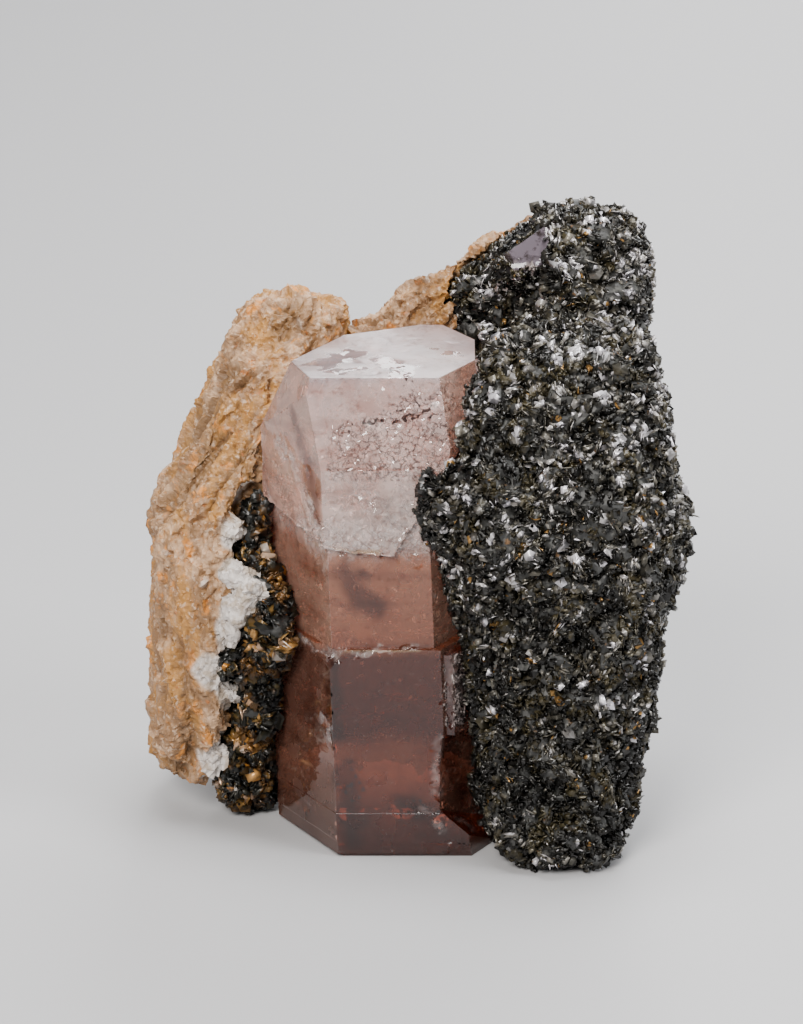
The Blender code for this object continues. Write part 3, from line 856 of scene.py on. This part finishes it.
def crystal_relief(place, normal):
    """Etch pits, chips and the faint swell of a grown face, with marks for the finish."""
    if place.z < 0.4:
        return -0.02, 0.0, 0.0, 0.0, 0.0, 0.0, 0.0, 0.0, 0.0, 0.0
    bend = 0.5 * noise.noise_vector(place / 0.8)
    share = etch_share(place)
    level = shatter(place + 0.7 * bend, 0.95)[0]
    sunk = 1.0 if noise.noise(place / 1.3 + Vector((4, 9, 2))) > 0.0 else 0.0
    pitted = share * sunk
    outline = share * (0.45 + 0.55 * sunk)
    wander = place + 1.2 * noise.noise_vector(place / 2.0)
    low_crown = max(0.0, 1.0 - abs(place.z - 42.4) / 3.4) * (0.9 if place.y < 6.0 else 0.4)
    spread = max(near_runs(wander, FROST_RUNS), low_crown)
    shard, split = shatter(Vector((place.x, place.y, 0.7 * place.z)) + bend, 1.35)
    cracks = max(crease(split, 0.2), crease(noise.noise(place / 1.1 + Vector((17, 3, 8))), 0.12))
    frost = min(1.0, 1.5 * spread) * (0.35 + 0.65 * cracks)
    # Painted shade and smoky brown.
    smoke_and_shade = near_runs(wander, SMOKE_AND_SHADE_RUNS)
    crust = near_runs(place, CRUST_RUNS)
    # Bleached, broken skin, and painted grey reflections low on the right front.
    ash_and_reflection = near_runs(wander, ASH_AND_REFLECTION_RUNS) * (0.5 + 1.2 * abs(noise.noise(place / 0.8)))
    soot = near_runs(place, SOOT_RUNS)
    soot = 0.6 * soot + 1.9 * noise.noise(place / 0.5) - 0.66 if soot > 0.0 else 0.0
    streak = Vector((place.x / 6.0, place.y / 6.0, place.z / 1.6))
    wisp_and_edge_shade = max(crease(noise.noise(streak + bend), 0.06), crease(noise.noise(place / 3.1), 0.025))
    # Painted shade: a dark line along the edge between the crown's bevel and the prism face under it.
    if place.y < 2.5 and -9.4 < place.x < 1.5:
        wisp_and_edge_shade = max(wisp_and_edge_shade, crease(place.z - BEVEL_LINE - 0.1, 0.3))
    # The side faces, which the finish colours apart from the front as painted light and shade.
    side = 1.0 if abs(normal.x) > 0.35 and abs(normal.z) < 0.5 else 0.0
    matt = 1.0 if noise.noise(place / 3.0 + Vector((5, 5, 1))) > 0.32 else 0.0
    if place.z > TOP_LINE - 0.25:
        matt = 1.0 - 1.5 * near_runs(place + 1.6 * noise.noise_vector(place / 1.8), WINDOW_RUNS)
    chips = max(0.0, noise.noise(place / 1.9 + Vector((17, 3, 8))) - 0.45)
    distance = 0.03 * noise.noise(place / 5.0) - 0.06 * pitted - 0.4 * chips - 0.05
    distance += 0.10 * share * sunk * level + min(1.0, 1.6 * spread) * (0.75 * shard - 0.15)
    distance += 0.7 * min(1.0, 1.5 * max(0.0, ash_and_reflection)) * (shard - 0.15)
    return distance, frost, ash_and_reflection, crust, smoke_and_shade, soot, outline, wisp_and_edge_shade, side, matt


def line_group():
    """Fine wandering lines: the borders of etch pits and of the facets in a crack."""
    group = bpy.data.node_groups.new("fine_lines", "ShaderNodeTree")
    for name, default in (("Scale", 900.0), ("Width", 0.1)):
        socket = group.interface.new_socket(name, in_out="INPUT", socket_type="NodeSocketFloat")
        socket.default_value = default
    group.interface.new_socket("Mask", in_out="OUTPUT", socket_type="NodeSocketFloat")
    start = group.nodes.new("NodeGroupInput")
    end = group.nodes.new("NodeGroupOutput")
    place = group.nodes.new("ShaderNodeTexCoord")
    warp = add_node(group, "ShaderNodeTexNoise", noise_dimensions="3D")
    warp.inputs["Scale"].default_value = 900.0
    warp.inputs["Detail"].default_value = 3.0
    bent = add_node(group, "ShaderNodeVectorMath", operation="MULTIPLY_ADD")
    bent.inputs[1].default_value = (2.6 * MM, 2.6 * MM, 2.6 * MM)
    cells = add_node(group, "ShaderNodeTexVoronoi", feature="DISTANCE_TO_EDGE")
    line = add_node(group, "ShaderNodeMapRange")
    line.inputs["To Min"].default_value = 1.0
    line.inputs["To Max"].default_value = 0.0
    link = group.links.new
    link(place.outputs["Object"], warp.inputs["Vector"])
    link(warp.outputs["Color"], bent.inputs[0])
    link(place.outputs["Object"], bent.inputs[2])
    link(bent.outputs[0], cells.inputs["Vector"])
    link(start.outputs["Scale"], cells.inputs["Scale"])
    link(cells.outputs["Distance"], line.inputs["Value"])
    link(start.outputs["Width"], line.inputs["From Max"])
    link(line.outputs["Result"], end.inputs["Mask"])
    return group


fine_lines = line_group()


def lines_in(tree, mask, scale, width):
    """The fine lines, only where the mask is white."""
    node = add_node(tree, "ShaderNodeGroup", node_tree=fine_lines)
    node.inputs["Scale"].default_value = scale
    node.inputs["Width"].default_value = width
    within = add_node(tree, "ShaderNodeMath", operation="MULTIPLY")
    tree.links.new(node.outputs["Mask"], within.inputs[0])
    tree.links.new(mask, within.inputs[1])
    return within.outputs["Value"]


def crystal_finish():
    material, tree, shader = new_material("rose_apatite")
    shader.inputs["Transmission Weight"].default_value = 0.74
    shader.inputs["IOR"].default_value = 1.57
    place = add_node(tree, "ShaderNodeTexCoord")
    axes = add_node(tree, "ShaderNodeSeparateXYZ")
    wave = add_node(tree, "ShaderNodeTexNoise")
    wave.inputs["Scale"].default_value = 130.0
    wave.inputs["Detail"].default_value = 4.0
    bend = add_node(tree, "ShaderNodeMath", operation="MULTIPLY_ADD")
    bend.inputs[1].default_value = 3.0 * MM
    height = add_node(tree, "ShaderNodeMapRange")
    height.inputs["From Min"].default_value = 1.5 * MM
    height.inputs["From Max"].default_value = (TOP_LINE + 1.5) * MM
    # Colour by height: the crystal's own pale crown and rose-brown foot, with painted light and shade
    # laid over it: a paler crown, a lighter band near the foot and steps of light and shade at the
    # partings.
    ramp = add_node(tree, "ShaderNodeValToRGB")
    set_ramp(
        ramp,
        [
            (0.0, (0.075, 0.014, 0.006)),
            (0.09, (0.11, 0.020, 0.008)),
            (0.15, (0.23, 0.054, 0.023)),
            (0.24, (0.19, 0.043, 0.018)),
            (0.265, (0.085, 0.014, 0.006)),
            (0.43, (0.12, 0.022, 0.009)),
            (0.455, (0.40, 0.130, 0.066)),
            (0.64, (0.58, 0.25, 0.150)),
            (0.66, (1.0, 0.80, 0.73)),
            (0.85, (1.0, 0.77, 0.71)),
            (0.985, (1.0, 0.77, 0.73)),
            (1.0, (0.86, 0.77, 0.80)),
        ],
    )
    # Painted light and shade: the side faces take a ramp of their own, a browner rose, darker than
    # the front's at the crown and lighter below it.
    sides = add_node(tree, "ShaderNodeValToRGB")
    set_ramp(
        sides,
        [
            (0.0, (0.17, 0.080, 0.056)),
            (0.24, (0.26, 0.125, 0.088)),
            (0.265, (0.18, 0.080, 0.056)),
            (0.43, (0.25, 0.115, 0.080)),
            (0.455, (0.66, 0.38, 0.28)),
            (0.64, (0.66, 0.38, 0.28)),
            (0.66, (0.94, 0.63, 0.52)),
            (1.0, (0.84, 0.59, 0.49)),
        ],
    )
    link = tree.links.new
    link(place.outputs["Object"], axes.inputs["Vector"])
    link(place.outputs["Object"], wave.inputs["Vector"])
    link(wave.outputs["Fac"], bend.inputs[0])
    link(axes.outputs["Z"], bend.inputs[2])
    link(bend.outputs["Value"], height.inputs["Value"])
    link(height.outputs["Result"], ramp.inputs["Fac"])
    link(height.outputs["Result"], sides.inputs["Fac"])
    # Painted light and shade: the side faces take their own ramp.
    side = marked(tree, "side", 0.0, 1.0)
    colour = tint(tree, ramp.outputs["Color"], side, sides.outputs["Color"])
    colour = shade(tree, colour, add_patches(tree, 150, 0.45, 0.62, 6.0), (0.66, 0.52, 0.48), 0.6)
    streaks = add_patches(tree, 420, 0.52, 0.62, 4.0, (0.25, 0.25, 1.0))
    colour = shade(tree, colour, streaks, (0.55, 0.45, 0.42), 0.45)
    # Thin streaks in the crystal, and the painted shade along the bevel's edge.
    colour = shade(tree, colour, marked(tree, "wisp_and_edge_shade", 0.1, 0.9), (0.45, 0.30, 0.26), 0.55)
    # Painted shade, with some smoky brown.
    colour = shade(tree, colour, marked(tree, "smoke_and_shade", 0.0, 0.8), (0.22, 0.13, 0.11), 0.8)
    # Bleached skin, and painted grey reflections.
    colour = tint_part(tree, colour, marked(tree, "ash_and_reflection", 0.1, 1.0), (0.52, 0.42, 0.41), 0.60)
    frosted = marked(tree, "frost", 0.05, 0.7)
    colour = tint_part(tree, colour, frosted, (1.0, 0.84, 0.79), 0.5)
    # Painted shade: dark fine lines between the facets of the cracks.
    colour = shade(tree, colour, lines_in(tree, frosted, 520.0, 0.09), (0.34, 0.20, 0.17), 0.85)
    # White crack lines, partly painted glints.
    veins_and_glints = lines_in(tree, frosted, 800.0, 0.05)
    colour = tint_part(tree, colour, veins_and_glints, (1.0, 0.93, 0.91), 0.95)
    etched = lines_in(tree, marked(tree, "etch", 0.1, 0.6), 900.0, 0.10)
    colour = tint_part(tree, colour, etched, (0.05, 0.02, 0.018), 0.95)
    colour = tint_part(tree, colour, marked(tree, "crust", 0.0, 0.8), (0.60, 0.42, 0.24), 0.70)
    colour = tint_part(tree, colour, marked(tree, "soot", 0.0, 0.25), (0.02, 0.012, 0.012), 0.92)
    dust = add_patches(tree, 1900, 0.64, 0.70, 3.0)
    colour = tint_part(tree, colour, dust, (0.80, 0.58, 0.50), 0.28)
    grit = add_patches(tree, 1300, 0.71, 0.74, 6.0)
    colour = tint_part(tree, colour, grit, (0.04, 0.02, 0.02), 0.9)
    link(colour, shader.inputs["Base Color"])
    rough = add_node(tree, "ShaderNodeMapRange")
    rough.inputs["To Min"].default_value = 0.02
    rough.inputs["To Max"].default_value = 0.30
    link(
        plus(tree, veins_and_glints, marked(tree, "matt", 0.2, 0.8)),
        rough.inputs["Value"],
    )
    link(rough.outputs["Result"], shader.inputs["Roughness"])
    add_grain(tree, shader, 700.0, 0.04, 0.12)
    inside = add_node(tree, "ShaderNodeVolumeAbsorption")
    inside.inputs["Color"].default_value = (0.88, 0.62, 0.54, 1.0)
    inside.inputs["Density"].default_value = 20.0
    link(inside.outputs["Volume"], tree.nodes["Material Output"].inputs["Volume"])
    return material


bm = merged_copy("apatite_crystal")
soften_edges(bm, CRYSTAL_EDGE)
refine(bm, crystal_step)
crystal = add_piece("apatite", bm, crystal_finish())
CRYSTAL_MARKS = ("frost", "ash_and_reflection", "crust", "smoke_and_shade", "soot", "etch", "wisp_and_edge_shade", "side", "matt")
shape_surface(crystal, crystal_relief, CRYSTAL_MARKS)
crystal.data.shade_smooth()
crystal.data.set_sharp_from_angle(angle=math.radians(30))
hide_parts("apatite_crystal")
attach(crystal, "root")


# Healed cracks inside the apatite: thin milky sheets at its partings, slightly tilted.
VEIL_THICKNESS = 0.06
VEILS = {
    # name: height in mm, tilt in degrees about x and y, share that shows, colour
    "crack_under_crown": (42.3, 5.0, -3.0, 0.48, (0.82, 0.68, 0.62)),
    "crack_middle": (28.6, -3.0, 2.0, 0.50, (0.55, 0.33, 0.27)),
    "crack_low": (16.4, 4.0, 3.0, 0.50, (0.50, 0.27, 0.22)),
}


def veil_finish(name, colour, share):
    material, tree, shader = new_material(name)
    shader.inputs["Base Color"].default_value = (*colour, 1.0)
    shader.inputs["Roughness"].default_value = 0.35
    mask = add_patches(tree, 330, share, share + 0.12, 3.0, (1, 1, 1))
    part = add_node(tree, "ShaderNodeMath", operation="MULTIPLY")
    part.inputs[1].default_value = 0.55
    tree.links.new(mask, part.inputs[0])
    tree.links.new(part.outputs["Value"], shader.inputs["Alpha"])
    return material


def crack_sheet(name, height, tilt_x, tilt_y, finish):
    """A wavy sheet cut off just inside the crystal's faces."""
    bm = bmesh.new()
    bmesh.ops.create_grid(bm, x_segments=60, y_segments=60, size=20 * MM)
    for vert in bm.verts:
        place = vert.co / MM
        vert.co.z = 0.5 * MM * noise.fractal(Vector((place.x, place.y, height)) / 5.0, 0.8, 2.0, 3)
        vert.co.z += MM * (
            place.y * math.tan(math.radians(tilt_x)) + place.x * math.tan(math.radians(tilt_y))
        )
    bmesh.ops.translate(bm, verts=bm.verts, vec=FOOT + Vector((0, 13.9, height)) * MM)
    sheet = add_piece(name, bm, finish)
    thick = sheet.modifiers.new("Thick", "SOLIDIFY")
    thick.thickness = VEIL_THICKNESS * MM
    inner = merged_copy("apatite_crystal")
    centre = FOOT + Vector((-0.038 * 30, 13.9, 30)) * MM
    for vert in inner.verts:
        vert.co = centre + (vert.co - centre) * 0.965
    mould = add_piece("mould", inner)
    trim = sheet.modifiers.new("Trim", "BOOLEAN")
    trim.operation = "INTERSECT"
    trim.object = mould
    apply_modifiers(sheet)
    sheet.data.shade_smooth()
    sheet.data.set_sharp_from_angle(angle=math.radians(40))
    bpy.data.objects.remove(mould)
    return sheet


for name, (height, tilt_x, tilt_y, share, colour) in VEILS.items():
    sheet = crack_sheet(name, height, tilt_x, tilt_y, veil_finish(name, colour, share))
    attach(sheet, "root")


# Glints inside the apatite: small flat cracks in swarms under its skin, which catch the light.
GLINT_SWARMS = [
    # middle, reach along x, y and z, how many, largest radius, all in mm
    ((-3.5, 2.2, 43.8), (6.0, 1.8, 2.2), 420, 1.5),
    ((0.5, 2.2, 46.5), (3.0, 1.6, 4.0), 200, 1.6),
    ((-14.6, 9.4, 47.0), (1.8, 2.6, 5.5), 260, 1.0),
    ((-10.8, 4.2, 44.5), (1.6, 2.0, 4.0), 200, 1.0),
    ((-10.5, 5.0, 28.0), (3.5, 3.0, 0.7), 160, 0.75),
    ((-2.0, 3.0, 16.4), (6.5, 2.2, 0.8), 90, 0.60),
    ((6.0, 2.9, 22.0), (1.5, 1.6, 4.2), 420, 0.55),
    ((3.5, 3.6, 4.8), (4.5, 2.6, 2.2), 50, 0.45),
    ((-2.0, 9.0, 34.0), (9.0, 7.0, 28.0), 300, 0.70),
]


def glint_finish():
    material, tree, shader = new_material("crack_glint")
    shader.inputs["Base Color"].default_value = (0.95, 0.90, 0.88, 1.0)
    shader.inputs["Roughness"].default_value = 0.18
    shader.inputs["Metallic"].default_value = 0.35
    shader.inputs["Alpha"].default_value = 0.75
    return material


rng = np.random.default_rng(31)
glint_places, glint_sizes = [], []
for middle, reach, wanted, largest in GLINT_SWARMS:
    spread = rng.normal(size=(wanted, 3)) * np.array(reach) * 0.55
    for offset, size in zip(spread, rng.uniform(0.18, largest, wanted)):
        place = Vector(middle) + Vector(offset)
        found, normal, _, distance = crystal_tree.find_nearest(FOOT + place * MM)
        inner = (FOOT + place * MM - found).dot(normal) < 0
        if inner and distance > (size + 0.35) * MM:
            glint_places.append(FOOT + place * MM)
            glint_sizes.append(size * MM)
glint_places, glint_sizes = np.array(glint_places), np.array(glint_sizes)
count = len(glint_places)
tilts = unit(rng.normal(size=(count, 3)) * (0.8, 0.8, 0.5) + (0.0, -0.5, 0.4))
tones = np.ones(count)
glint_mesh = flake_mesh(
    "glints", glint_places, tilts, glint_sizes, glint_sizes * 0.06, tones, rng
)
glint_mesh.materials.append(glint_finish())
glints = bpy.data.objects.new("glints", glint_mesh)
bpy.context.scene.collection.objects.link(glints)
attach(glints, "root")


# The frosted strip: grey splinters on the right face between the two lower partings.
rng = np.random.default_rng(37)
strip_places, strip_tilts = [], []
for x, y, z in rng.uniform((5.6, 0.4, 17.6), (9.0, 3.4, 26.9), (520, 3)):
    found, normal, _, _ = crystal_tree.find_nearest(FOOT + Vector((x, y, z)) * MM)
    if normal.x > 0.5:
        strip_places.append(found + normal * 0.02 * MM)
        strip_tilts.append(normal)
count = len(strip_places)
strip_tilts = unit(np.array(strip_tilts) + 0.3 * rng.normal(size=(count, 3)))
strip_sizes = rng.uniform(0.2, 0.65, count) * MM
strip_mesh = flake_mesh(
    "frosted_strip", np.array(strip_places), strip_tilts, strip_sizes, strip_sizes * 0.15,
    np.ones(count), rng,
)
splinter, splinter_tree, splinter_shader = new_material("grey_splinters")
splinter_colour = tint(
    splinter_tree, (0.30, 0.25, 0.24), add_patches(splinter_tree, 900, 0.45, 0.60), (0.10, 0.065, 0.058)
)
splinter_tree.links.new(splinter_colour, splinter_shader.inputs["Base Color"])
splinter_shader.inputs["Roughness"].default_value = 0.25
splinter_shader.inputs["Alpha"].default_value = 0.85
strip_mesh.materials.append(splinter)
frosted_strip = bpy.data.objects.new("frosted_strip", strip_mesh)
bpy.context.scene.collection.objects.link(frosted_strip)
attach(frosted_strip, "root")


# The studio: a plain pale floor, soft lights above and to both sides, and the camera 600 mm
# away, looking down at 18 degrees.
CAMERA_DISTANCE = 600.0
CAMERA_DROP = 18.0
CAMERA_AIM = Vector((0.193, 20.0, 40.14))
VIEW_WIDTH = 133.1

bm = bmesh.new()
bmesh.ops.create_grid(bm, x_segments=1, y_segments=1, size=3.0)
floor_material, floor_tree, floor_shader = new_material("pale_floor")
floor_shader.inputs["Base Color"].default_value = (0.37, 0.37, 0.38, 1.0)
floor_shader.inputs["Roughness"].default_value = 0.6
floor = add_piece("floor", bm, floor_material)


def add_softbox(name, place, size, power, colour=(1.0, 1.0, 1.0)):
    """A square area light that faces the middle of the specimen."""
    light = bpy.data.lights.new(name, "AREA")
    light.shape = "SQUARE"
    light.size = size
    light.energy = power
    light.color = colour
    box = bpy.data.objects.new(name, light)
    bpy.context.scene.collection.objects.link(box)
    box.location = place
    aim = Vector((0, 0, 0.04)) - Vector(place)
    box.rotation_euler = aim.to_track_quat("-Z", "Y").to_euler()


add_softbox("overhead", (0.05, 0.05, 0.95), 0.5, 14.0)
add_softbox("left_front", (-0.28, -0.72, 0.62), 0.42, 17.0, (1.0, 0.96, 0.91))
add_softbox("right_front", (0.75, -0.35, 0.40), 0.35, 8.0)
add_softbox("behind", (0.30, 0.82, 0.46), 0.7, 10.0)

world = bpy.data.worlds.new("studio")
world.use_nodes = True
world.node_tree.nodes["Background"].inputs["Color"].default_value = (0.5, 0.5, 0.52, 1.0)
world.node_tree.nodes["Background"].inputs["Strength"].default_value = 0.35
bpy.context.scene.world = world

camera_data = bpy.data.cameras.new("camera")
camera_data.sensor_width = 36.0
camera_data.lens = 36.0 * CAMERA_DISTANCE / VIEW_WIDTH
camera_data.clip_start = 0.01
camera = bpy.data.objects.new("camera", camera_data)
bpy.context.scene.collection.objects.link(camera)
drop = math.radians(CAMERA_DROP)
back = Vector((0, -math.cos(drop), math.sin(drop)))
camera.location = FOOT + CAMERA_AIM * MM + back * CAMERA_DISTANCE * MM
camera.rotation_euler = (-back).to_track_quat("-Z", "Y").to_euler()
bpy.context.scene.camera = camera
